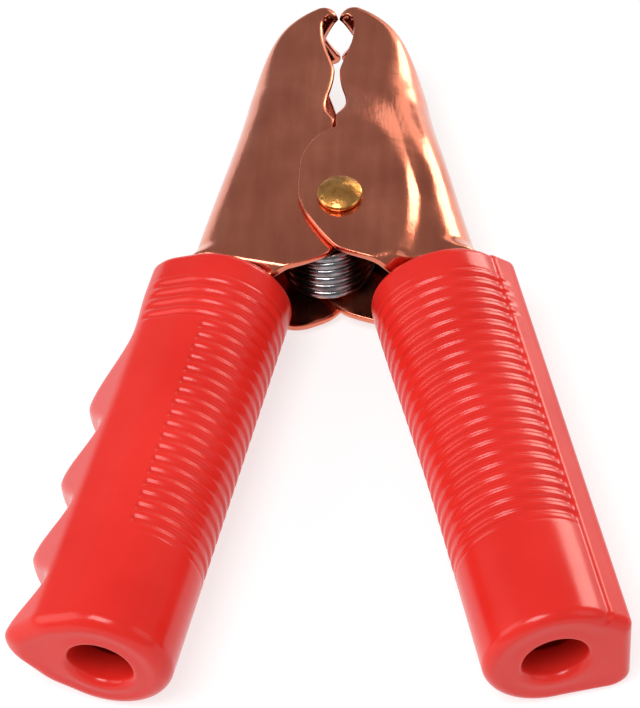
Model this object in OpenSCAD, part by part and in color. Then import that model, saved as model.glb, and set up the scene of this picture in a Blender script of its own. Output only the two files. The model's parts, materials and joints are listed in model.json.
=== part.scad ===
// Heavy-duty battery clamp: two pressed channel jaws on a rivet, a torsion spring
// between them, and an insulating sleeve over each tail.
//
// Lead axes while drawing: +Y from the sleeves to the noses, +Z along the rivet,
// x = 0 where the jaws meet. place() then moves the whole clamp so that the
// origin is the middle of the box it fills, at the height of its lowest point.
// Each half is drawn on the +X side; the left one is turned or mirrored.
// In a sleeve's own axes, u points outward, a runs from collar to cable end.

/* [Pivot] */
// Sideways distance from the jaws' meeting line to the rivet
pivot_x = 1.5; // [0.5:0.1:2]
// Distance from the lead zero line to the rivet, towards the noses
pivot_y = -0.2; // [-1:0.1:1.5]
// Radius of the rivet's shank
shank_r = 3.0; // [2.6:0.1:3.2]
// Radius of the rivet's heads
head_r = 5.1; // [4.4:0.1:6]
// Height of a rivet head's straight rim
head_rim = 1.1; // [0.6:0.1:1.6]
// Height of the dome above that rim
head_dome = 1.5; // [0.8:0.1:2.2]
// Height of the flatter head formed at the back, rim and dome each
back_rise = 0.8; // [0.4:0.1:1]

/* [Jaws] */
// Thickness of the jaws' sheet metal
sheet_t = 1.7; // [1.4:0.1:1.9]
// Half thickness of a jaw, outside, at the rivet
pivot_z = 11.0; // [10.5:0.1:11.4]
// Half thickness of a jaw, outside, at the nose
nose_z = 8.6; // [8:0.1:9.5]
// Half thickness of a jaw, outside, inside its sleeve
tail_z = 8.8; // [8.4:0.1:9]
// Outside radius of the bend between cheek and web at the rivet
bend_r = 9.0; // [6:0.1:9.2]
// The same bend's radius inside the sleeve
tail_bend_r = 3.4; // [2.6:0.1:4]
// The same bend's radius at the nose
nose_bend_r = 2.2; // [2:0.1:2.6]
// Air between the lapping cheeks
lap_gap = 0.3; // [0.2:0.05:0.4]
// Air between the two jaws where their noses and edges meet
meet_gap = 0.3; // [0.2:0.05:0.6]
// Depth of the notch in each nose, halfway between the cheeks
nose_notch = 3.4; // [2:0.1:4]

/* [Sleeves] */
// Outside radius of a sleeve
sleeve_r = 15.1; // [14.9:0.1:16]
// Angle of each sleeve from the lead axis
splay = 13.0; // [12:0.5:14]
// Collar's centre, sideways from the meeting line
collar_x = 23.9; // [23.5:0.1:24.5]
// Collar's centre, behind the lead zero line
collar_y = 17.7; // [17.2:0.1:18.2]
// Length of a sleeve along its own axis
sleeve_len = 101.8; // [95:0.2:108]
// Radius of the hollow inside a sleeve
cavity_r = 13.0; // [12.9:0.05:13.2]
// Thickness of the wall at the cable end
end_wall = 8; // [4:0.5:12]
// Radius of the cable hole
cable_r = 6.9; // [6:0.1:7.5]
// Number of raised ribs round a sleeve
rib_count = 22; // [4:1:22]
// Distance from rib to rib
rib_pitch = 3.1; // [3:0.05:3.2]
// Height of a rib above the groove beside it
rib_h = 0.55; // [0.3:0.05:0.8]
// Reach of a finger grip's tip from the sleeve's axis
grip_tip = 21.2; // [19:0.2:22]
// Reach of the hollow between two finger grips
grip_dip = 15.9; // [15.2:0.1:18]
// Distance from one finger grip to the next
grip_pitch = 20.2; // [19:0.1:20.3]

/* [Spring] */
// Diameter of the spring's wire
wire_d = 2.4; // [2:0.1:2.4]
// Mean radius of the coil
coil_r = 9.3; // [9:0.1:9.6]
// Whole turns in the coil
coil_turns = 6; // [4:1:6]

/* [Conductor barrel] */
// Radius of the hole that holds the conductor
crimp_r = 5.0; // [3:0.1:5]
// Length of the barrel
crimp_len = 14; // [8:1:16]

/* [Hidden] */
$fn = 48;

copper = [0.66, 0.37, 0.27];
brass = [0.80, 0.66, 0.34];
steel = [0.62, 0.62, 0.64];
red_vinyl = [0.88, 0.16, 0.14];

axis_u = [cos(splay), sin(splay)];
axis_a = [sin(splay), -cos(splay)];
collar = [collar_x, -collar_y];
web_u = 9.2;           // outer face of the tail's web
edge_u = -9.3;         // free edges of the tail's cheeks
tail_a = 42;           // how far the tail reaches into the sleeve
joggle = sheet_t + lap_gap;
lip_x = meet_gap / 2;
fan_y = 59;            // from here the stations fan out round the nose
rib_first = 7.6;       // first rib from the collar's end
tip_first = 38.6;      // first finger grip's tip from the collar's end
grip_rise = 11.3;      // a grip's long slope; the short one takes up the rest
grip_top = 2.0;        // half width of a grip's tip
grip_collar = 16.8;    // reach of that side at the collar
shoulder = [13.3, 10.5];
collar_rim = 2.6;
end_round = 4.4;
ridge_end = 2.6;
ridge_u = sleeve_r + 1.3;
crease = [12.0, 10.0];
flank_g = 48;          // direction that the flank beyond the crease faces
barrel_a = 26;         // how far into its sleeve a barrel starts
press_bite = 0.03;
coil_c = [-1.7, -3.4]; // the coil hangs a little off the rivet
coil_step = wire_d + 0.1;

function smooth(t) = let (c = min(1, max(0, t))) c * c * (3 - 2 * c);
function bez(p, t) = pow(1 - t, 3) * p[0] + 3 * pow(1 - t, 2) * t * p[1]
    + 3 * (1 - t) * t * t * p[2] + t * t * t * p[3];
function bez_dir(p, t) = pow(1 - t, 2) * (p[1] - p[0]) + 2 * (1 - t) * t * (p[2] - p[1])
    + t * t * (p[3] - p[2]);
function unit(v) = v / norm(v);
function left_of(v) = [v[1], -v[0]];
function at(u, a) = collar + u * axis_u + a * axis_a;

// --- Jaw outline -----------------------------------------------------------

// The web's outer face in plan: two curves, then the nose's lip as an arc
web_side = [at(web_u, 0), [30.3, -1], [23.9, 20], [21.5, 35.5]];
web_nose = [[21.5, 35.5], [20.1, 44.8], [15.9, 59.4], [5.6, 65.1]];
lip_g = atan2(9.5, 6.5);
lip_r = (web_nose[3][0] - lip_x) / (1 + cos(lip_g));
lip_c = web_nose[3] - lip_r * [cos(lip_g), sin(lip_g)];

// Stations along the web: [point, outward direction]
function web_points() = concat(
    [for (a = [tail_a : -8 : 9]) [at(web_u, a), axis_u]],
    [for (a = [7.2 : -0.9 : 0.8]) [at(web_u, a), axis_u]],
    [for (k = [0 : 25]) let (t = k / 26) [bez(web_side, t), unit(left_of(bez_dir(web_side, t)))]],
    [for (k = [0 : 13]) let (t = k / 14) [bez(web_nose, t), unit(left_of(bez_dir(web_nose, t)))]],
    [for (k = [0 : 9]) let (g = lip_g + (180 - lip_g) * k / 9, n = [cos(g), sin(g)])
        [lip_c + lip_r * n, n]]);

// The cheek's free edge, as [y, x] from the tail to the nose: ear, then mouth
// with its one tooth
edge_keys = [[-56, at(edge_u, 37)[0]], [-24, 15.9], [-20, 14.2], [-18.8, 10.4], [-17.3, 5.6],
    [-15.2, 1.1], [-12.2, -1.6], [-8.8, -3.9], [-3.7, -6.7], [1.8, -8.2], [11.4, -7.8],
    [16.4, -6.0], [19.6, -3.6], [21.0, -1.6], [22.0, lip_x], [26.2, lip_x], [27.4, 0.9],
    [29.2, 1.9], [31.2, 2.3], [33.5, 2.1], [37, 1.3], [40.5, 0.75], [43, 0.6], [47, 1.5],
    [51, 2.7], [55, 3.5], [58.5, 3.7], [61.4, 3.4]];

// Cubic through those keys, level at turning points
function key_slope(k, i) = (i == 0 || i == len(k) - 1) ? 0
    : let (a = (k[i][1] - k[i - 1][1]) / (k[i][0] - k[i - 1][0]),
           b = (k[i + 1][1] - k[i][1]) / (k[i + 1][0] - k[i][0]))
      a * b <= 0 ? 0 : 2 * a * b / (a + b);
function key_at(k, y, i = 0) = (i >= len(k) - 2 || y <= k[i + 1][0])
    ? let (h = k[i + 1][0] - k[i][0], t = (y - k[i][0]) / h,
           m0 = key_slope(k, i) * h, m1 = key_slope(k, i + 1) * h)
      (2 * pow(t, 3) - 3 * t * t + 1) * k[i][1] + (pow(t, 3) - 2 * t * t + t) * m0
      + (3 * t * t - 2 * pow(t, 3)) * k[i + 1][1] + (pow(t, 3) - t * t) * m1
    : key_at(k, y, i + 1);
function edge_point(w) = let (fan = fan_y + 2.2 * (12.3 - w[0]) / 12.3,
        y = w[1] < fan_y ? w[1] : min(w[1], fan))
    y < -24 ? [collar_x + edge_u * axis_u[0] - (y + collar_y - edge_u * axis_u[1]) * tan(splay), y]
            : [key_at(edge_keys, y), y];

// From 0 to 1 over the last run mm before the collar
function into_sleeve(p, run) = smooth(((p - collar) * axis_a + run) / run);

// Half thickness at a point: slimmer to the nose and where the sleeve starts
function half_z(p) = pivot_z - (pivot_z - nose_z) * smooth((p[1] - 6) / 58)
    - (pivot_z - tail_z) * into_sleeve(p, 2.5);

// The bend between cheek and web, outside radius: tighter at the nose and the tail
function bend_at(p) = bend_r - (bend_r - nose_bend_r) * smooth((p[1] - 40) / 20)
    - (bend_r - tail_bend_r) * into_sleeve(p, 7);

// How far the front cheek is pushed out to lap over the other jaw: an oval dish
// with a short ramp beside the rivet and a long one toward the nose
function dish(p) = let (r = norm([(p[0] - 1) / 14.7, (p[1] + 2) / 25]),
                        ramp_r = 0.22 + 0.4 * smooth((p[1] - 2) / 20))
    joggle * (1 - smooth((r - 1.02) / ramp_r)) * (1 - into_sleeve(p, 4));

// --- Jaw shell -------------------------------------------------------------

// One station's ring: the outer skin from the front edge round to the back
// edge, then the inner skin back again
function jaw_ring(s) = let (
    w = s[0], n = s[1], r = bend_at(w), c = w - r * n, f = edge_point(w),
    lip = w[1] > fan_y ? smooth((web_nose[3][0] - w[0]) / (web_nose[3][0] - lip_x)) : 0,
    front = [for (k = [0 : 12]) let (p = f + (c - f) * k / 12) [p[0], p[1], half_z(p) + dish(p)]],
    back = [for (k = [4 : -1 : 0]) let (p = f + (c - f) * k / 4) [p[0], p[1], -half_z(p)]],
    zf = half_z(c) + dish(c), zb = half_z(c),
    bend = function(d, side) [for (g = side > 0 ? [30, 60, 90] : [90, 60, 30])
        let (p = c + (r - d) * sin(g) * n, z = (side > 0 ? zf : zb) - r + (r - d) * cos(g))
        [p[0], p[1], side * z]],
    notch = function(d) let (p = w - d * n + [nose_notch * lip, 0]) [[p[0], p[1], 0]],
    skin = function(d) concat([for (p = front) p - [0, 0, d]], bend(d, 1), notch(d),
        bend(d, -1), [for (p = back) p + [0, 0, d]]),
    outer = skin(0), inner = skin(sheet_t))
    concat(outer, [for (k = [len(inner) - 1 : -1 : 0]) inner[k]]);

module swept(rings) {
    m = len(rings[0]);
    last = len(rings) - 1;
    polyhedron(points = [for (r = rings) each r], faces = concat(
        [for (i = [0 : last - 1], k = [0 : m - 1], h = [0, 1]) let (j = (k + 1) % m)
            h == 0 ? [i * m + k, (i + 1) * m + j, i * m + j]
                   : [i * m + k, (i + 1) * m + k, (i + 1) * m + j]],
        [for (k = [0 : m / 2 - 2], h = [0, 1]) h == 0 ? [k, k + 1, m - 1 - k]
            : [k + 1, m - 2 - k, m - 1 - k]],
        [for (k = [0 : m / 2 - 2], h = [0, 1]) let (o = last * m)
            h == 0 ? [o + k, o + m - 1 - k, o + k + 1] : [o + k + 1, o + m - 1 - k, o + m - 2 - k]]));
}

module jaw(hole_x, hole_r) {
    difference() {
        swept([for (s = web_points()) jaw_ring(s)]);
        translate([hole_x, pivot_y, -20]) cylinder(r = hole_r, h = 40);
    }
}

// --- Conductor barrel ------------------------------------------------------

// A tube in the tail, on a pad that is pressed against the web
module barrel() {
    wall = 1.6;
    pad_u = crimp_r + wall - 0.4;
    translate([0, -barrel_a - crimp_len, 0]) difference() {
        union() {
            rotate([-90, 0, 0]) cylinder(r = crimp_r + wall, h = crimp_len);
            translate([pad_u, 0, -3]) cube([web_u - sheet_t + press_bite - pad_u, crimp_len, 6]);
        }
        translate([0, -1, 0]) rotate([-90, 0, 0]) cylinder(r = crimp_r, h = crimp_len + 2);
    }
}

// --- Sleeve ----------------------------------------------------------------

// The round body's profile, [radius, a]: rounded collar, ribs, rounded end
module sleeve_profile() {
    rib_w = 1.7;
    polygon(concat([[0, 0]],
        [for (g = [0 : 15 : 90]) [sleeve_r - collar_rim * (1 - sin(g)), collar_rim * (1 - cos(g))]],
        [for (k = [0 : rib_count - 1]) let (a = rib_first + k * rib_pitch)
            each [[sleeve_r - rib_h, a - rib_w / 2 - 0.3], [sleeve_r, a - rib_w / 2 + 0.2],
                  [sleeve_r, a + rib_w / 2 - 0.2], [sleeve_r - rib_h, a + rib_w / 2 + 0.3]]],
        [[sleeve_r - rib_h, rib_first + rib_count * rib_pitch - 1],
         [sleeve_r, rib_first + rib_count * rib_pitch]],
        [for (g = [0 : 15 : 90]) [sleeve_r - end_round * (1 - cos(g)),
            sleeve_len - end_round * (1 - sin(g))]],
        [[0, sleeve_len]]));
}

// Solid body, its ridge section drawn in (u, z) and cut to an (u, a) outline
module sleeve_body(section, outline) {
    rotate([90, 0, 0]) rotate_extrude() sleeve_profile();
    intersection() {
        rotate([90, 0, 0]) linear_extrude(sleeve_len) polygon(section);
        translate([0, 0, -20]) linear_extrude(40) polygon([for (p = outline) [p[0], -p[1]]]);
    }
}

// The hollow: round, with three lands that hold the jaw's tail, and a cable hole
module sleeve_hollow() {
    difference() {
        translate([0, 1, 0]) rotate([90, 0, 0]) cylinder(r = cavity_r, h = sleeve_len - end_wall + 1);
        translate([web_u - press_bite, -36, -5]) cube([8, 32, 10]);
        for (s = [-1, 1])
            translate([-5, -36, s > 0 ? tail_z - press_bite : -tail_z + press_bite - 8]) cube([9, 32, 8]);
    }
    translate([0, 1, 0]) rotate([90, 0, 0]) cylinder(r = cable_r, h = sleeve_len + 2);
}

module sleeve(section, outline) {
    difference() {
        sleeve_body(section, outline);
        sleeve_hollow();
    }
}

// Plain ridge, from the floor side up: flat foot, round corner, flat outer face,
// another corner, a flank and its crease
foot_r = 4;
corner_r = 2.4;
flank_d = crease * [cos(flank_g), sin(flank_g)];
corner_z = (flank_d - corner_r - (ridge_u - corner_r) * cos(flank_g)) / sin(flank_g);
ridge_section = concat([[0, -sleeve_r]],
    [for (g = [-90 : 15 : 0]) [ridge_u - foot_r * (1 - cos(g)), -sleeve_r + foot_r * (1 + sin(g))]],
    [for (g = [0 : 12 : flank_g]) [ridge_u - corner_r * (1 - cos(g)), corner_z + corner_r * sin(g)]],
    [crease, [0, crease[1]]]);
ridge_outline = concat([[0, 0]],
    [for (g = [0 : 15 : 90]) [ridge_u - collar_rim * (1 - sin(g)), collar_rim * (1 - cos(g))]],
    [for (g = [0 : 15 : 90]) [ridge_u - ridge_end * (1 - cos(g)),
        sleeve_len - ridge_end * (1 - sin(g))]],
    [[0, sleeve_len]]);

// Finger grips: a section like a drop with shoulders, cut to four rounded tips
drop = atan2(shoulder[1], shoulder[0]) + acos(sleeve_r / norm(shoulder));
grip_section = [[0, -12], [sleeve_r * cos(drop), -sleeve_r * sin(drop)],
    [shoulder[0], -shoulder[1]], [grip_tip, -grip_top], [grip_tip, grip_top], shoulder,
    [sleeve_r * cos(drop), sleeve_r * sin(drop)], [0, 12]];
function grip_u(a) = let (k = max(0, floor((a - tip_first + grip_rise) / grip_pitch)),
        d = a - tip_first - k * grip_pitch, fall = grip_pitch - grip_rise)
    grip_dip + (grip_tip - grip_dip)
        * (d > 0 ? smooth(1 - d / fall) : k > 0 ? smooth(1 + d / grip_rise)
                 : pow(smooth((a - 20) / (tip_first - 20)), 1.1));
grip_outline = concat([[0, 0]],
    [for (g = [0 : 15 : 90]) [grip_collar - collar_rim * (1 - sin(g)), collar_rim * (1 - cos(g))]],
    [[grip_collar, 9]], [for (a = [20 : 1.2 : sleeve_len - 1]) [grip_u(a), a]],
    [[grip_u(sleeve_len) - 1.5, sleeve_len], [0, sleeve_len]]);

// --- Spring ----------------------------------------------------------------

// The wire's route: right leg, coil from bottom to top, left leg
leg_end = at(web_u - sheet_t - wire_d / 2 - 0.15, 6);
leg_z = 4.4;
leg_r_dir = leg_end - coil_c;
leg_l_dir = [-leg_end[0], leg_end[1]] - coil_c;
start_g = atan2(leg_r_dir[1], leg_r_dir[0]) + acos(coil_r / norm(leg_r_dir));
end_g = atan2(leg_l_dir[1], leg_l_dir[0]) - acos(coil_r / norm(leg_l_dir)) + 360 * (coil_turns + 1);
coil_h = coil_step * (end_g - start_g) / 360;
coil_n = 20 * coil_turns;
wire_route = concat([[leg_end[0], leg_end[1], -leg_z]],
    [for (k = [0 : coil_n]) let (g = start_g + (end_g - start_g) * k / coil_n)
        [coil_c[0] + coil_r * cos(g), coil_c[1] + coil_r * sin(g), coil_h * (k / coil_n - 0.5)]],
    [[-leg_end[0], leg_end[1], leg_z]]);
function wire_ring(i) = let (n = len(wire_route),
    d = unit(wire_route[min(n - 1, i + 1)] - wire_route[max(0, i - 1)]),
    x = unit(cross(d, [0, 0, 1])), y = cross(x, d))
    [for (g = [0 : 45 : 315]) wire_route[i] + wire_d / 2 * (cos(g) * x + sin(g) * y)];

// --- Pieces ----------------------------------------------------------------

// Extent of the finished clamp in lead axes
left_x = collar_x + (tip_first + 3 * grip_pitch) * axis_a[0] + grip_tip * axis_u[0];
right_x = collar_x + (sleeve_len - ridge_end) * axis_a[0] + (ridge_u - ridge_end) * axis_u[0]
    + ridge_end;
end_y = -collar_y + (sleeve_len - end_round) * axis_a[1] - (sleeve_r - end_round) * axis_u[1]
    - end_round;
top_y = lip_c[1] + lip_r;

module place() {
    translate([(left_x - right_x) / 2, -(top_y + end_y) / 2, sleeve_r]) children();
}

module jaw_left() {
    color(copper) place() rotate([0, 180, 0]) jaw(-pivot_x, shank_r);
}

module jaw_right() {
    color(copper) place() jaw(pivot_x, shank_r + 0.08);
}

// One head's outline above a seat, [radius, height], from the rim to the top
function head(rim, rise) = let (dome = (head_r * head_r + rise * rise) / (2 * rise),
        reach = asin(head_r / dome))
    concat([[head_r, 0]], [for (k = [6 : -1 : 0]) [dome * sin(reach * k / 6),
        rim + rise - dome + dome * cos(reach * k / 6)]]);

// Shank with a domed head at each end, clear of the front ear by a little air
module rivet() {
    front = pivot_z + joggle + 0.2;
    back = pivot_z + joggle;
    under = head(back_rise, back_rise);
    color(brass) place() translate([pivot_x, pivot_y, 0]) rotate_extrude()
        polygon(concat([for (k = [len(under) - 1 : -1 : 0]) [under[k][0], -back - under[k][1]]],
            [[shank_r, -back], [shank_r, front]],
            [for (p = head(head_rim, head_dome)) [p[0], front + p[1]]]));
}

module spring() {
    m = len(wire_route);
    color(steel) place() polyhedron(
        points = [for (i = [0 : m - 1]) each wire_ring(i)],
        faces = concat(
            [for (i = [0 : m - 2], k = [0 : 7]) let (j = (k + 1) % 8)
                [i * 8 + k, i * 8 + j, (i + 1) * 8 + j, (i + 1) * 8 + k]],
            [[for (k = [7 : -1 : 0]) k], [for (k = [0 : 7]) (m - 1) * 8 + k]]));
}

// Moves what is drawn on a sleeve's axis to that sleeve
module on_tail() {
    translate([collar_x, -collar_y, 0]) rotate([0, 0, splay]) children();
}

module barrel_left() {
    color(copper) place() mirror([1, 0, 0]) on_tail() barrel();
}

module barrel_right() {
    color(copper) place() on_tail() barrel();
}

module sleeve_left() {
    color(red_vinyl) place() mirror([1, 0, 0]) on_tail() sleeve(grip_section, grip_outline);
}

module sleeve_right() {
    color(red_vinyl) place() on_tail() sleeve(ridge_section, ridge_outline);
}

jaw_left();
jaw_right();
rivet();
spring();
barrel_left();
barrel_right();
sleeve_left();
sleeve_right();
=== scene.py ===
"""Booster clamp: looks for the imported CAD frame. Lengths are in mm until a mesh is made."""
import json
import math

import bpy
import numpy as np
from mathutils import Matrix, Vector


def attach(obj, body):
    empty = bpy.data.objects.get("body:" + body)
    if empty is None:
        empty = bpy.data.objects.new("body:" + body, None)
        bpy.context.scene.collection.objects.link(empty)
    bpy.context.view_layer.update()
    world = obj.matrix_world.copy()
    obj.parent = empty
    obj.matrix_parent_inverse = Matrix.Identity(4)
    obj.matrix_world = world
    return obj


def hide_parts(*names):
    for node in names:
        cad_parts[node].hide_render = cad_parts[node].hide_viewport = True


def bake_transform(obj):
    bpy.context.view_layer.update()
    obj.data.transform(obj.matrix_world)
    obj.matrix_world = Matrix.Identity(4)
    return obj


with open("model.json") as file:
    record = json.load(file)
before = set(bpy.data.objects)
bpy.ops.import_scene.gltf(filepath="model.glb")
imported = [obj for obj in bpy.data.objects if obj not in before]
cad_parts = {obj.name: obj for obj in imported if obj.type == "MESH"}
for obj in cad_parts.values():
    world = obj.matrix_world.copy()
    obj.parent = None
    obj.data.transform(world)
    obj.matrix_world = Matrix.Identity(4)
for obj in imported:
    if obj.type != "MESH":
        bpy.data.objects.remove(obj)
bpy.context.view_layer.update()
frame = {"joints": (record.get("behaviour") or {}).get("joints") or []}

MM = 0.001
LEFT, RIGHT = "left_half", "right_half"

# Lead axes: x = 0 where the jaws meet, +y to the noses, z = 0 halfway through the
# rivet. Each half is drawn on the +x side; the left one is turned or mirrored.
PIVOT = (1.5, -0.2)
pivot_m = frame["joints"][0]["pos_m"]
ZERO = np.array([pivot_m[0] - PIVOT[0] * MM, pivot_m[1] - PIVOT[1] * MM, pivot_m[2]])

# Jaws: sheet, half thicknesses, outside radii of the bend between cheek and web
SHEET_T = 1.7
PIVOT_Z, NOSE_Z, TAIL_Z = 11.0, 8.6, 8.8
BEND_R, NOSE_BEND_R, TAIL_BEND_R = 9.0, 2.2, 3.4
EDGE_ROUND = 0.8                   # rounding of the free edges
NOTCH = 3.4                        # depth of the notch in each nose
LIP_X = 0.15                       # half the air between the noses
LAP_GAP = 0.3                      # air between the lapping cheeks
JOGGLE = SHEET_T + LAP_GAP
HEAD_R = 5.1                       # the rivet's heads

# A sleeve's own axes: u points outward and a runs from the collar to the cable end
SPLAY = math.radians(13.0)
COLLAR = np.array([23.9, -17.7])
AXIS_U = np.array([math.cos(SPLAY), math.sin(SPLAY)])
AXIS_A = np.array([math.sin(SPLAY), -math.cos(SPLAY)])
SLEEVE_R, SLEEVE_LEN, CAVITY_R, END_WALL, CABLE_R = 15.1, 101.8, 12.9, 8.0, 6.9
RIB_FIRST, RIB_PITCH, RIBS, RIB_H = 7.6, 3.1, 23, 0.46
WEB_U, EDGE_U, TAIL_A = 9.2, -9.3, 42.0    # the tail's web, free edges and end
BARREL_R = 5.0
WIRE_D, COIL_R, COIL_TURNS, COIL_C = 2.4, 9.3, 6, np.array([-1.7, -3.4])


def smooth(t):
    """From 0 to 1 as t does, level at both ends."""
    t = np.clip(t, 0, 1)
    return t * t * (3 - 2 * t)


def unit(v):
    v = np.asarray(v, float)
    return v / np.linalg.norm(v)


def smin(a, b, k):
    """The smaller of a and b, rounded over where they cross by about k."""
    h = np.clip(0.5 + 0.5 * (b - a) / k, 0, 1)
    return b + (a - b) * h - k * h * (1 - h)


def at(u, a):
    """The plan point at (u, a) in the right sleeve's axes."""
    return COLLAR + u * AXIS_U + a * AXIS_A


# --- Meshes ----------------------------------------------------------------


def mesh_piece(name, points, faces, body, node, material):
    """A smooth mesh from lead-axis points in mm, riding on a body in place of a CAD node."""
    mesh = bpy.data.meshes.new(name)
    mesh.from_pydata([tuple(ZERO + np.asarray(p) * MM) for p in points], [], faces)
    mesh.validate()
    mesh.polygons.foreach_set("use_smooth", [True] * len(mesh.polygons))
    obj = bpy.data.objects.new(name, mesh)
    bpy.context.scene.collection.objects.link(obj)
    mesh.materials.append(material)
    if body:
        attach(obj, body)
    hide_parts(node)
    return obj


def loft(rings, closed_path=False, cap=None):
    """Points and quads that join rings of equal length.

    cap closes the two ends: "strip" across a thin U, "fan" with one face each."""
    m, count = len(rings[0]), len(rings)
    points = [p for ring in rings for p in ring]
    faces = []
    for i in range(count if closed_path else count - 1):
        n = (i + 1) % count
        for k in range(m):
            j = (k + 1) % m
            faces.append((i * m + k, n * m + k, n * m + j, i * m + j))
    if cap == "strip":
        for start, reverse in ((0, False), ((count - 1) * m, True)):
            for k in range(m // 2 - 1):
                quad = (start + k, start + k + 1, start + m - 2 - k, start + m - 1 - k)
                faces.append(quad[::-1] if reverse else quad)
    elif cap == "fan":
        faces.append(tuple(range(m)))
        faces.append(tuple((count - 1) * m + k for k in range(m - 1, -1, -1)))
    return points, faces


# --- Jaws ------------------------------------------------------------------

# The web's outer face in plan: two curves, then the nose's lip as an arc
WEB_SIDE = np.array([at(WEB_U, 0), (30.3, -1), (23.9, 20), (21.5, 35.5)])
WEB_NOSE = np.array([(21.5, 35.5), (20.1, 44.8), (15.9, 59.4), (5.6, 65.1)])
NOSE_X = WEB_NOSE[3][0]
LIP_G = math.atan2(9.5, 6.5)
LIP_R = (NOSE_X - LIP_X) / (1 + math.cos(LIP_G))
LIP_C = WEB_NOSE[3] - LIP_R * np.array([math.cos(LIP_G), math.sin(LIP_G)])
SIDE_STEPS, NOSE_STEPS, LIP_STEPS = 90, 44, 26

# Past FAN_Y the stations fan out round the nose. They share the last FAN_EDGE mm of
# the free edge, by how far the web has come in from FAN_X.
FAN_Y, FAN_X, FAN_EDGE = 59.0, 12.3, 2.2

# The cheek's free edge, as (y, x) from the tail to the nose: ear, then mouth with
# its one tooth
EDGE_KEYS = np.array([
    (-24, 15.9), (-20, 14.2), (-18.8, 10.4), (-17.3, 5.6), (-15.2, 1.1), (-12.2, -1.6),
    (-8.8, -3.9), (-3.7, -6.7), (1.8, -8.2), (11.4, -7.8), (16.4, -6.0), (19.6, -3.6),
    (21.0, -1.6), (22.0, LIP_X), (26.2, LIP_X), (27.4, 0.9), (29.2, 1.9), (31.2, 2.3),
    (33.5, 2.1), (37, 1.3), (40.5, 0.75), (43, 0.6), (47, 1.5), (51, 2.7), (55, 3.5),
    (58.5, 3.7), (61.4, 3.4)])


def bezier(p, t):
    return ((1 - t) ** 3 * p[0] + 3 * (1 - t) ** 2 * t * p[1]
            + 3 * (1 - t) * t * t * p[2] + t ** 3 * p[3])


def bezier_dir(p, t):
    """A third of the curve's velocity, for its direction only."""
    return ((1 - t) ** 2 * (p[1] - p[0]) + 2 * (1 - t) * t * (p[2] - p[1])
            + t * t * (p[3] - p[2]))


def key_slopes(keys):
    """Slope at each key: none at turning points, or else the harmonic mean."""
    step = np.diff(keys[:, 1]) / np.diff(keys[:, 0])
    slopes = np.zeros(len(keys))
    for i in range(1, len(keys) - 1):
        a, b = step[i - 1], step[i]
        slopes[i] = 0 if a * b <= 0 else 2 * a * b / (a + b)
    return slopes


EDGE_SLOPES = key_slopes(EDGE_KEYS)


def edge_x(y):
    """The free edge's x at height y: a cubic through the keys, level at turning points."""
    if y < EDGE_KEYS[0][0]:
        return (COLLAR[0] + EDGE_U * AXIS_U[0]
                - (y - COLLAR[1] - EDGE_U * AXIS_U[1]) * math.tan(SPLAY))
    i = int(np.clip(np.searchsorted(EDGE_KEYS[:, 0], y) - 1, 0, len(EDGE_KEYS) - 2))
    (y0, x0), (y1, x1) = EDGE_KEYS[i], EDGE_KEYS[i + 1]
    h = y1 - y0
    t = (y - y0) / h
    return ((2 * t ** 3 - 3 * t * t + 1) * x0 + (t ** 3 - 2 * t * t + t) * EDGE_SLOPES[i] * h
            + (3 * t * t - 2 * t ** 3) * x1 + (t ** 3 - t * t) * EDGE_SLOPES[i + 1] * h)


def into_sleeve(p, run):
    """From 0 to 1 over the last run mm before the collar."""
    return smooth(((p - COLLAR) @ AXIS_A + run) / run)


def half_z(p):
    """Half thickness: slimmer to the nose and where the sleeve starts."""
    slim_y, slim_run, neck_run = 6, 58, 2.5
    return (PIVOT_Z - (PIVOT_Z - NOSE_Z) * smooth((p[..., 1] - slim_y) / slim_run)
            - (PIVOT_Z - TAIL_Z) * into_sleeve(p, neck_run))


def bend_at(p):
    """Outside radius of the bend between cheek and web."""
    nose_y, nose_run, neck_run = 40, 20, 7
    return float(BEND_R - (BEND_R - NOSE_BEND_R) * smooth((p[1] - nose_y) / nose_run)
                 - (BEND_R - TAIL_BEND_R) * into_sleeve(p, neck_run))


def dish(p):
    """How far the front cheek is pushed out, in an oval with a longer ramp to the nose."""
    centre, half, flat_r, neck_run = (1, -2), (14.7, 25), 1.02, 4
    ramp_r = 0.30 + 0.32 * smooth((p[..., 1] - 2) / 20)
    r = np.hypot((p[..., 0] - centre[0]) / half[0], (p[..., 1] - centre[1]) / half[1])
    return JOGGLE * (1 - smooth((r - flat_r) / ramp_r)) * (1 - into_sleeve(p, neck_run))


def web_stations():
    """Along the web's outer face in plan: (point, outward direction)."""
    hidden = np.linspace(TAIL_A, 8, 12)
    near_collar = np.arange(7.6, 0.2, -0.3)
    out = [(at(WEB_U, a), AXIS_U) for a in (*hidden, *near_collar)]
    for curve, steps in ((WEB_SIDE, SIDE_STEPS), (WEB_NOSE, NOSE_STEPS)):
        for t in np.arange(steps) / steps:
            d = unit(bezier_dir(curve, t))
            out.append((bezier(curve, t), np.array([d[1], -d[0]])))
    for g in np.linspace(LIP_G, math.pi, LIP_STEPS):
        n = np.array([math.cos(g), math.sin(g)])
        out.append((LIP_C + LIP_R * n, n))
    return out


ROUND_STEPS, CHEEK_STEPS, WEB_STEPS = [0, 0.15, 0.45, 1], 36, 12


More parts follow.
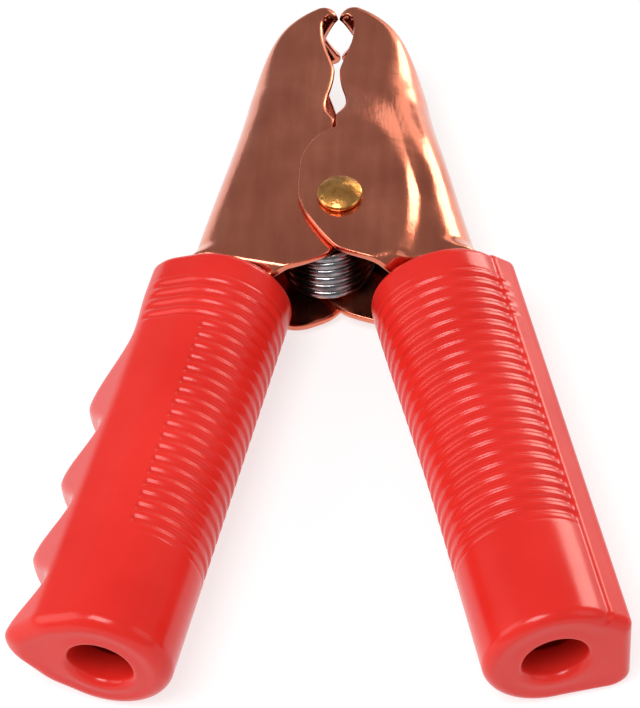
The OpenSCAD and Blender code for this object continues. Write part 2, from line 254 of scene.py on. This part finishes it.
def jaw_ring(w, n):
    """One station's ring: outer skin from the front edge round to the back, then inner."""
    r = bend_at(w)
    c = w - r * n
    y = w[1]
    if y >= FAN_Y:
        y = min(y, FAN_Y + FAN_EDGE * (FAN_X - w[0]) / FAN_X)
    f = np.array([edge_x(y), y])
    lip = float(smooth((NOSE_X - w[0]) / (NOSE_X - LIP_X))) if w[1] > FAN_Y else 0

    # Steps over the cheek from its edge: a few on the rounded part, then even ones
    reach = np.linalg.norm(c - f)
    soft = min(EDGE_ROUND, reach * 0.2)
    even = np.arange(1, CHEEK_STEPS + 1) / CHEEK_STEPS
    steps = np.concatenate([ROUND_STEPS, 1 + even * (reach - soft) / soft])
    steps = steps * soft / reach
    front = f + (c - f) * steps[:, None]
    inward = np.clip(steps * reach / EDGE_ROUND, 0, 1)
    drop = EDGE_ROUND * (1 - np.sqrt(np.clip(1 - (1 - inward) ** 2, 0, 1)))
    top = half_z(front) + dish(front)
    bottom = half_z(front)
    angles = np.radians(np.arange(10, 91, 10))

    def skin(d):
        """The skin d inside the outer face. Edge rounding goes into the sheet."""
        sign = 1 if d == 0 else -1
        rows = [(p[0], p[1], z - d - sign * q) for p, z, q in zip(front, top, drop)]
        zf, zb = top[-1], bottom[-1]
        for g in angles:
            p = c + (r - d) * math.sin(g) * n
            rows.append((p[0], p[1], zf - r + (r - d) * math.cos(g)))
        lo, hi = -(zb - r), zf - r
        for s in np.linspace(0, 1, WEB_STEPS + 1)[1:-1]:
            z = hi + (lo - hi) * s
            notch = NOTCH * lip * (1 - abs(2 * s - 1)) ** 0.8
            p = w - d * n + np.array([notch, 0])
            rows.append((p[0], p[1], z))
        for g in angles[::-1]:
            p = c + (r - d) * math.sin(g) * n
            rows.append((p[0], p[1], -(zb - r + (r - d) * math.cos(g))))
        rows += [(p[0], p[1], -z + d + sign * q)
                 for p, z, q in zip(front[::-1], bottom[::-1], drop[::-1])]
        return rows

    return skin(0) + skin(SHEET_T)[::-1]


def make_jaw(name, turned, material):
    """The right jaw, or the left one, which is the same pressing turned over."""
    rings = np.array([jaw_ring(w, n) for w, n in web_stations()])
    if turned:
        rings = rings * np.array([-1, 1, -1])
    points, faces = loft([list(r) for r in rings], cap="strip")
    return mesh_piece(name, points, faces, LEFT if turned else RIGHT,
                      "jaw_left" if turned else "jaw_right", material)


# --- Sleeves ---------------------------------------------------------------

RING_N = 240
THETA = np.linspace(0, 2 * math.pi, RING_N, endpoint=False)
FOLD = np.abs((THETA + math.pi) % (2 * math.pi) - math.pi)  # 0 outward, pi inward

# Finger grips: where the tips are, their reach, and the reach of the dips
GRIP_TIPS, GRIP_TIP_U, GRIP_DIP_U = [37.8, 58.8, 79.0, 99.0], 21.2, 15.9
GRIP_FALL, GRIP_PITCH = 9.0, 20.2          # from a tip to its dip, and to the next tip
GRIP_START = 20.0                          # where the first tip's long slope begins
LAST_DIP_MORE = 0.9                        # how much deeper the last dip is


def grip_u(a):
    """How far the finger grips reach from the axis, along the sleeve."""
    at_collar = 0.9 * (1 - smooth((a - 8) / 12))
    slope = smooth((a - GRIP_START) / (GRIP_TIPS[0] - GRIP_START)) ** 1.1
    u = GRIP_DIP_U + at_collar + (GRIP_TIP_U - GRIP_DIP_U) * slope
    for k, tip in enumerate(GRIP_TIPS):
        if a > tip:
            after = GRIP_TIPS[k + 1] if k + 1 < len(GRIP_TIPS) else tip + GRIP_PITCH
            low = tip + GRIP_FALL
            dip_u = GRIP_DIP_U - LAST_DIP_MORE if k == 2 else GRIP_DIP_U
            rise = (smooth((a - low) / (after - low)) if a >= low
                    else 1 - smooth((a - tip) / (low - tip)))
            u = dip_u + (GRIP_TIP_U - dip_u) * rise
    return float(u)


def line_r(g, d):
    """Polar radius of a straight line d from the axis that faces angle g."""
    c = np.cos(FOLD - g)
    least, far = 0.2, 60.0
    return np.where(c > least, d / np.maximum(c, least), far)


def line_through(point, g):
    """Distance from the axis to the straight line through a point that faces angle g."""
    return point[0] * math.cos(g) + point[1] * math.sin(g)


def section_grip(a):
    """Polar radius all round for the sleeve with finger grips."""
    shoulder, tangent, flank_g = (13.3, 10.5), math.radians(65.2), math.atan2(7.7, 8.3)
    flank = line_r(flank_g, line_through(shoulder, flank_g))
    side = smin(line_r(tangent, SLEEVE_R), flank, 0.9)
    r = smin(side, line_r(0.0, grip_u(a)), 1.6)
    return np.where(FOLD > tangent, SLEEVE_R, r)


def section_ridge(a):
    """Polar radius all round: crease, flank, flat outer face, flat foot, round elsewhere."""
    crease, flank_g, face_u = (12.0, 10.0), math.radians(48), 16.4
    face = line_r(0.0, face_u)
    upper = smin(line_r(flank_g, line_through(crease, flank_g)), face, 1.0)
    crease_g = math.atan2(crease[1], crease[0])
    inside = smooth((crease_g + math.radians(1.6) - FOLD) / math.radians(2.2))
    upper = SLEEVE_R + (upper - SLEEVE_R) * inside
    lower = smin(face, line_r(math.pi / 2, SLEEVE_R), 6.5)
    lower = np.where(FOLD < math.pi / 2, lower, SLEEVE_R)
    flare_u, flare_a = 1.3, 60     # the inner side is fuller at the collar
    inner_side = smooth((FOLD - math.radians(95)) / math.radians(70))
    flare = flare_u * smooth(1 - a / flare_a) * inner_side
    return np.where(THETA > math.pi, lower, upper) + flare


def rib_cut(a, mask):
    """How deep the groove between ribs is here."""
    k = (a - RIB_FIRST) / RIB_PITCH
    if k < -0.5 or k > RIBS - 0.5:
        return 0 * mask
    wave = 0.5 + 0.5 * math.cos(2 * math.pi * k)
    depth = RIB_H * (1 - float(smooth((wave - 0.12) / 0.7)))
    ends = float(smooth((k + 0.5) / 0.5) * smooth((RIBS - 0.5 - k) / 0.5))
    return depth * ends * mask


COLLAR_RIM = 2.0                           # rounding of the collar's outer edge
LOWER_RIBS_FROM = math.radians(91)         # where the ribs stop on the floor side
RIB_FADE = math.radians(2.5)


def make_sleeve(name, side, section, rib_from, end_round, material):
    """A sleeve as rings that run up the hollow, over the collar, down the outside and
    back through the cable hole. Past the fourth, the ribs stop at the angle rib_from."""
    first_four = smooth((FOLD - math.radians(30)) / math.radians(16))
    others = np.where(THETA > math.pi, smooth((FOLD - LOWER_RIBS_FROM) / RIB_FADE),
                      smooth((FOLD - rib_from) / RIB_FADE))
    rim = COLLAR_RIM
    cos_t, sin_t = np.cos(THETA), np.sin(THETA)

    def ring(radius, a):
        radius = np.broadcast_to(radius, (RING_N,))
        a = np.broadcast_to(a, (RING_N,))
        return [(radius[i] * cos_t[i], a[i], radius[i] * sin_t[i]) for i in range(RING_N)]

    # The hollow. Rings close to its corners keep the shading of each face flat.
    wall_a = SLEEVE_LEN - END_WALL
    rings = [ring(r, a) for r, a in (
        (CABLE_R + 0.4, wall_a), (CABLE_R + 0.8, wall_a), (CAVITY_R - 0.8, wall_a),
        (CAVITY_R - 0.4, wall_a), (CAVITY_R - 0.1, wall_a - 0.1), (CAVITY_R, wall_a - 0.4),
        (CAVITY_R, wall_a - 0.8), (CAVITY_R, 60), (CAVITY_R, 30), (CAVITY_R, 4),
        (CAVITY_R, 1.2), (CAVITY_R, 0.8), (CAVITY_R + 0.3, 0.1))]

    # Collar, ribbed body, rounded end
    for g in np.radians(np.arange(0, 91, 9)):
        edge = np.maximum(section(0) - rim + rim * math.sin(g), CAVITY_R + 0.3)
        rings.append(ring(edge, rim - rim * math.cos(g)))
    for a in np.arange(rim + 0.2, SLEEVE_LEN - end_round, RIB_PITCH / 11):
        blend = float(smooth((a - RIB_FIRST - 3.5 * RIB_PITCH) / (0.2 * RIB_PITCH)))
        mask = first_four * (1 - blend) + others * blend
        rings.append(ring(section(a) - rib_cut(a, mask), a))
    for g in np.radians(np.arange(0, 91, 6)):
        a = SLEEVE_LEN - end_round + end_round * math.sin(g)
        rings.append(ring(section(min(a, SLEEVE_LEN)) - end_round * (1 - math.cos(g)), a))

    # End face, a little hollow, and the rolled lip of the cable hole
    inner = section(SLEEVE_LEN) - end_round
    lip = 0.9 + 1.1 * smooth(0.3 - 0.9 * sin_t)
    for s in (0.25, 0.5, 0.75):
        sunk = 0.15 * math.sin(math.pi * s)
        rings.append(ring(inner + (CABLE_R + lip - inner) * s, SLEEVE_LEN - sunk))
    for g in np.radians(np.arange(0, 91, 10)):
        rings.append(ring(CABLE_R + lip * (1 - math.sin(g)),
                          SLEEVE_LEN - lip * (1 - math.cos(g))))
    rings += [ring(r, a) for r, a in (
        (CABLE_R, wall_a + 0.8), (CABLE_R, wall_a + 0.4), (CABLE_R + 0.1, wall_a + 0.1))]

    def lead(p):
        q = at(p[0], p[1])
        return (side * q[0], q[1], p[2])

    points, faces = loft([[lead(p) for p in r] for r in rings], closed_path=True)
    if side < 0:
        faces = [f[::-1] for f in faces]
    return mesh_piece(name, points, faces, LEFT if side < 0 else RIGHT,
                      "sleeve_left" if side < 0 else "sleeve_right", material)


# --- Barrels ---------------------------------------------------------------


def make_barrel(name, side, material):
    """The conductor's tube inside a tail, with its pad against the web."""
    wall, start, length, lip, n = 1.6, 26.0, 14.0, 0.3, 72
    pad_half, bite = 3, 0.03
    outer = BARREL_R + wall
    pad_u = WEB_U - SHEET_T + bite
    theta = np.linspace(0, 2 * math.pi, n, endpoint=False)
    on_pad = (np.abs(np.sin(theta)) * outer < pad_half) & (np.cos(theta) > 0)
    pad = np.where(on_pad, pad_u / np.maximum(np.cos(theta), 0.2), outer)

    def ring(r, a):
        r = np.broadcast_to(r, (n,))
        q = [at(r[k] * math.cos(theta[k]), a) for k in range(n)]
        return [(side * q[k][0], q[k][1], r[k] * math.sin(theta[k])) for k in range(n)]

    first, last = start, start + length
    rings = [ring(BARREL_R + lip, first), ring(pad - lip, first), ring(pad, first + lip),
             ring(pad, last - lip), ring(pad - lip, last), ring(BARREL_R + lip, last),
             ring(BARREL_R, last - lip), ring(BARREL_R, first + lip)]
    points, faces = loft(rings, closed_path=True)
    if side < 0:
        faces = [f[::-1] for f in faces]
    return mesh_piece(name, points, faces, LEFT if side < 0 else RIGHT,
                      "barrel_left" if side < 0 else "barrel_right", material)


# --- Rivet and spring ------------------------------------------------------


def make_rivet(material):
    """A shank with a domed head at each end, clear of the front cheek by a little air."""
    front, back = PIVOT_Z + JOGGLE + 0.2, -PIVOT_Z - JOGGLE
    front_rim, front_rise, back_rim, back_rise, shank_r = 1.1, 1.5, 0.8, 0.8, 3.0

    def head(seat, rim, rise, sign):
        """(radius, z) from beside the top of the dome to the underside."""
        dome = (HEAD_R ** 2 + rise ** 2) / (2 * rise)
        reach = math.asin((HEAD_R - 0.25) / dome)
        rows = [(dome * math.sin(reach * k / 16),
                 seat + sign * (rim + rise - dome + dome * math.cos(reach * k / 16)))
                for k in range(1, 17)]
        edge = seat + sign * rim
        rows += [(HEAD_R - 0.06, edge - sign * 0.02), (HEAD_R, edge - sign * 0.2),
                 (HEAD_R, seat + sign * 0.3), (HEAD_R - 0.12, seat + sign * 0.05),
                 (HEAD_R - 0.4, seat)]
        return rows

    profile = (head(front, front_rim, front_rise, 1) + [(shank_r, front), (shank_r, back)]
               + head(back, back_rim, back_rise, -1)[::-1])
    n, rows = 96, len(profile)
    points = []
    for r, z in profile:
        points += [(PIVOT[0] + r * math.cos(g), PIVOT[1] + r * math.sin(g), z)
                   for g in np.linspace(0, 2 * math.pi, n, endpoint=False)]
    faces = [(i * n + k, (i + 1) * n + k, (i + 1) * n + (k + 1) % n, i * n + (k + 1) % n)
             for i in range(rows - 1) for k in range(n)]
    points += [(*PIVOT, front + front_rim + front_rise), (*PIVOT, back - back_rim - back_rise)]
    apex, foot = len(points) - 2, len(points) - 1
    faces += [(apex, k, (k + 1) % n) for k in range(n)]
    faces += [(foot, (rows - 1) * n + (k + 1) % n, (rows - 1) * n + k) for k in range(n)]
    return mesh_piece("rivet_turned", points, faces, LEFT, "rivet", material)


def make_spring(material):
    """The wire as one swept tube: right leg, coil from bottom to top, left leg."""
    leg_end = at(WEB_U - SHEET_T - WIRE_D / 2 - 0.15, 6)
    leg_z, turn_gap, turn_steps, leg_steps, wire_sides = 4.4, 0.1, 60, 12, 20
    to_right = leg_end - COIL_C
    to_left = np.array([-leg_end[0], leg_end[1]]) - COIL_C
    start = math.atan2(to_right[1], to_right[0]) + math.acos(COIL_R / np.linalg.norm(to_right))
    end = (math.atan2(to_left[1], to_left[0]) - math.acos(COIL_R / np.linalg.norm(to_left))
           + 2 * math.pi * (COIL_TURNS + 1))
    if math.atan2(to_left[1], to_left[0]) > 0:
        end -= 2 * math.pi
    height = (WIRE_D + turn_gap) * (end - start) / (2 * math.pi)
    n = turn_steps * COIL_TURNS
    coil = []
    for k in range(n + 1):
        g = start + (end - start) * k / n
        x, y = COIL_C[0] + COIL_R * math.cos(g), COIL_C[1] + COIL_R * math.sin(g)
        coil.append(np.array([x, y, height * (k / n - 0.5)]))
    first = np.array([leg_end[0], leg_end[1], -leg_z])
    last = np.array([-leg_end[0], leg_end[1], leg_z])
    share = np.arange(leg_steps + 1) / leg_steps
    route = [first + (coil[0] - first) * t for t in share[:-1]] + coil
    route += [coil[-1] + (last - coil[-1]) * t for t in share[1:]]
    rings = []
    for i, p in enumerate(route):
        d = unit(route[min(len(route) - 1, i + 1)] - route[max(0, i - 1)])
        x = unit(np.cross(d, [0, 0, 1]))
        y = np.cross(x, d)
        rings.append([p + WIRE_D / 2 * (math.cos(g) * x + math.sin(g) * y)
                      for g in np.linspace(0, 2 * math.pi, wire_sides, endpoint=False)])
    points, faces = loft(rings, cap="fan")
    spring = mesh_piece("spring_wire", points, faces, None, "spring", material)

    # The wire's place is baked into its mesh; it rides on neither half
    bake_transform(spring)
    return spring


# --- Materials -------------------------------------------------------------


def new_material(name):
    mat = bpy.data.materials.new(name)
    mat.use_nodes = True
    nodes, links = mat.node_tree.nodes, mat.node_tree.links
    return mat, nodes, links, nodes["Principled BSDF"]


def noise(nodes, links, coord, scale, detail=4.0, stretch=(1, 1, 1)):
    """Noise in object space, drawn out along an axis whose stretch is below 1."""
    mapping = nodes.new("ShaderNodeMapping")
    mapping.inputs["Scale"].default_value = stretch
    links.new(coord, mapping.inputs["Vector"])
    tex = nodes.new("ShaderNodeTexNoise")
    tex.inputs["Scale"].default_value = scale
    tex.inputs["Detail"].default_value = detail
    links.new(mapping.outputs["Vector"], tex.inputs["Vector"])
    return tex.outputs["Fac"]


def mix_value(nodes, links, a, b, share):
    """Between two values: share of b, the rest a."""
    node = nodes.new("ShaderNodeMix")
    node.inputs["Factor"].default_value = share
    links.new(a, node.inputs["A"])
    links.new(b, node.inputs["B"])
    return node.outputs["Result"]


def ramp(nodes, links, value, stops):
    """A colour from a value, or a grey where the stops hold single numbers."""
    node = nodes.new("ShaderNodeValToRGB")
    el = node.color_ramp.elements
    while len(el) < len(stops):
        el.new(0.5)
    for e, (pos, color) in zip(el, stops):
        e.position = pos
        e.color = (*(color if isinstance(color, tuple) else (color,) * 3), 1)
    links.new(value, node.inputs["Fac"])
    return node.outputs["Color"]


def bump(nodes, links, height, strength, distance, previous=None):
    """A normal from a height, on top of a previous normal if there is one."""
    node = nodes.new("ShaderNodeBump")
    node.inputs["Strength"].default_value = strength
    node.inputs["Distance"].default_value = distance
    links.new(height, node.inputs["Height"])
    if previous:
        links.new(previous, node.inputs["Normal"])
    return node.outputs["Normal"]


def copper_material():
    """Dull copper plate: cloudy tone, drawing marks along the jaws, small scratches."""
    mat, nodes, links, shader = new_material("copper_plate")
    coord = nodes.new("ShaderNodeTexCoord").outputs["Object"]
    shader.inputs["Metallic"].default_value = 1.0
    shader.inputs["Coat Weight"].default_value = 0.5
    shader.inputs["Coat Roughness"].default_value = 0.14
    cloud = noise(nodes, links, coord, 55, 6)
    streak = noise(nodes, links, coord, 420, 5, (1, 0.12, 1))
    tone = mix_value(nodes, links, cloud, streak, 0.3)
    color = ramp(nodes, links, tone, [(0.32, (0.60, 0.155, 0.085)), (0.5, (0.72, 0.205, 0.115)),
                                      (0.68, (0.82, 0.265, 0.155))])
    links.new(color, shader.inputs["Base Color"])
    rough = ramp(nodes, links, tone, [(0.35, 0.16), (0.65, 0.31)])
    links.new(rough, shader.inputs["Roughness"])
    dents = noise(nodes, links, coord, 130, 3)
    scratch = noise(nodes, links, coord, 1500, 2, (0.9, 0.05, 1))
    normal = bump(nodes, links, dents, 0.22, 0.0008)
    normal = bump(nodes, links, streak, 0.12, 0.0002, normal)
    normal = bump(nodes, links, scratch, 0.16, 0.0002, normal)
    links.new(normal, shader.inputs["Normal"])
    return mat


def brass_material():
    """Brass head, a little tarnished."""
    mat, nodes, links, shader = new_material("brass_rivet")
    coord = nodes.new("ShaderNodeTexCoord").outputs["Object"]
    shader.inputs["Metallic"].default_value = 1.0
    cloud = noise(nodes, links, coord, 420, 5)
    color = ramp(nodes, links, cloud, [(0.38, (0.46, 0.20, 0.050)), (0.62, (0.80, 0.40, 0.12))])
    links.new(color, shader.inputs["Base Color"])
    rough = ramp(nodes, links, cloud, [(0.35, 0.34), (0.6, 0.20)])
    links.new(rough, shader.inputs["Roughness"])
    links.new(bump(nodes, links, cloud, 0.30, 0.0008), shader.inputs["Normal"])
    return mat


def steel_material():
    """Plated spring wire with drawing marks."""
    mat, nodes, links, shader = new_material("spring_steel")
    coord = nodes.new("ShaderNodeTexCoord").outputs["Object"]
    shader.inputs["Metallic"].default_value = 1.0
    cloud = noise(nodes, links, coord, 300, 4)
    color = ramp(nodes, links, cloud, [(0.35, (0.13, 0.12, 0.125)),
                                       (0.65, (0.36, 0.345, 0.36))])
    links.new(color, shader.inputs["Base Color"])
    rough = ramp(nodes, links, cloud, [(0.35, 0.26), (0.65, 0.12)])
    links.new(rough, shader.inputs["Roughness"])
    links.new(bump(nodes, links, cloud, 0.25, 0.0004), shader.inputs["Normal"])
    return mat


def vinyl_material():
    """Soft glossy vinyl, slightly uneven."""
    mat, nodes, links, shader = new_material("red_vinyl")
    coord = nodes.new("ShaderNodeTexCoord").outputs["Object"]
    cloud = noise(nodes, links, coord, 40, 4)
    color = ramp(nodes, links, cloud, [(0.3, (0.66, 0.019, 0.013)),
                                       (0.7, (0.74, 0.028, 0.020))])
    links.new(color, shader.inputs["Base Color"])
    grain = noise(nodes, links, coord, 1600, 3)
    rough = ramp(nodes, links, cloud, [(0.3, 0.17), (0.7, 0.25)])
    links.new(rough, shader.inputs["Roughness"])
    normal = bump(nodes, links, grain, 0.05, 0.0001)
    normal = bump(nodes, links, cloud, 0.10, 0.002, normal)
    links.new(normal, shader.inputs["Normal"])
    shader.inputs["Specular IOR Level"].default_value = 0.3
    shader.inputs["Subsurface Weight"].default_value = 0.06
    shader.inputs["Subsurface Radius"].default_value = (0.003, 0.0008, 0.0006)
    return mat


COPPER, BRASS = copper_material(), brass_material()
STEEL, VINYL = steel_material(), vinyl_material()

make_jaw("jaw_pressing_right", False, COPPER)
make_jaw("jaw_pressing_left", True, COPPER)
make_barrel("barrel_tube_left", -1, COPPER)
make_barrel("barrel_tube_right", 1, COPPER)
make_sleeve("sleeve_grip", -1, section_grip, math.radians(91), 3.5, VINYL)
make_sleeve("sleeve_plain", 1, section_ridge, math.radians(41), 2.6, VINYL)
make_rivet(BRASS)
make_spring(STEEL)


# --- Camera, floor and light -----------------------------------------------


def add_camera():
    """Above the cable ends, looking down past them at the middle of the clamp."""
    elevation, azimuth, roll = map(math.radians, (50.82, 4.73, -4.655))
    distance, focal, sensor = 682.6, 157.0, 36.0
    aim = Vector((-2.94, -35.41, 0))
    back = Vector((math.sin(azimuth) * math.cos(elevation),
                   -math.cos(azimuth) * math.cos(elevation), math.sin(elevation)))
    level = Vector((0, 0, 1)).cross(back).normalized()
    over = back.cross(level)
    right = math.cos(roll) * level + math.sin(roll) * over
    up = -math.sin(roll) * level + math.cos(roll) * over
    target = Vector(ZERO) + aim * MM
    data = bpy.data.cameras.new("camera")
    data.lens, data.sensor_width = focal, sensor
    cam = bpy.data.objects.new("camera", data)
    cam.matrix_world = Matrix.Translation(target + back * distance * MM) @ Matrix(
        (right, up, back)).transposed().to_4x4()
    bpy.context.scene.collection.objects.link(cam)
    bpy.context.scene.camera = cam


LIGHT_AIM = Vector((0, -0.01, 0.01))
WARM = (1.0, 0.93, 0.82)


def add_area(name, place, size, power, color=(1, 1, 1)):
    data = bpy.data.lights.new(name, "AREA")
    data.shape = "RECTANGLE"
    data.size, data.size_y, data.energy, data.color = size[0], size[1], power, color
    light = bpy.data.objects.new(name, data)
    light.location = place
    towards = LIGHT_AIM - Vector(place)
    light.rotation_euler = towards.to_track_quat("-Z", "Y").to_euler()
    bpy.context.scene.collection.objects.link(light)


def add_floor():
    """A pale floor with a little light of its own, so that it shows nearly white."""
    bpy.ops.mesh.primitive_plane_add(size=6, location=(0, 0, 0))
    floor = bpy.context.object
    floor.name = "floor"
    mat, _, _, shader = new_material("pale_floor")
    shader.inputs["Base Color"].default_value = (0.32, 0.32, 0.32, 1)
    shader.inputs["Roughness"].default_value = 0.9
    shader.inputs["Emission Color"].default_value = (1, 1, 1, 1)
    shader.inputs["Emission Strength"].default_value = 0.72
    floor.data.materials.append(mat)


add_camera()
add_floor()
add_area("overhead", (-0.25, -0.45, 1.1), (0.6, 0.5), 9.6)
add_area("soft_left", (-1.0, -0.1, 0.6), (0.8, 0.8), 4.4)
add_area("soft_right", (1.0, -0.3, 0.6), (0.7, 0.7), 1.5)
add_area("window_right", (0.82, 0.97, 0.33), (0.46, 0.62), 6.8, WARM)
add_area("window_glow", (0.42, 1.25, 0.52), (0.5, 0.5), 1.0, WARM)
world = bpy.data.worlds.new("studio")
world.use_nodes = True
background = world.node_tree.nodes["Background"]
background.inputs["Color"].default_value = (1, 1, 1, 1)
background.inputs["Strength"].default_value = 0.32
bpy.context.scene.world = world
bpy.context.scene.view_settings.view_transform = "Standard"
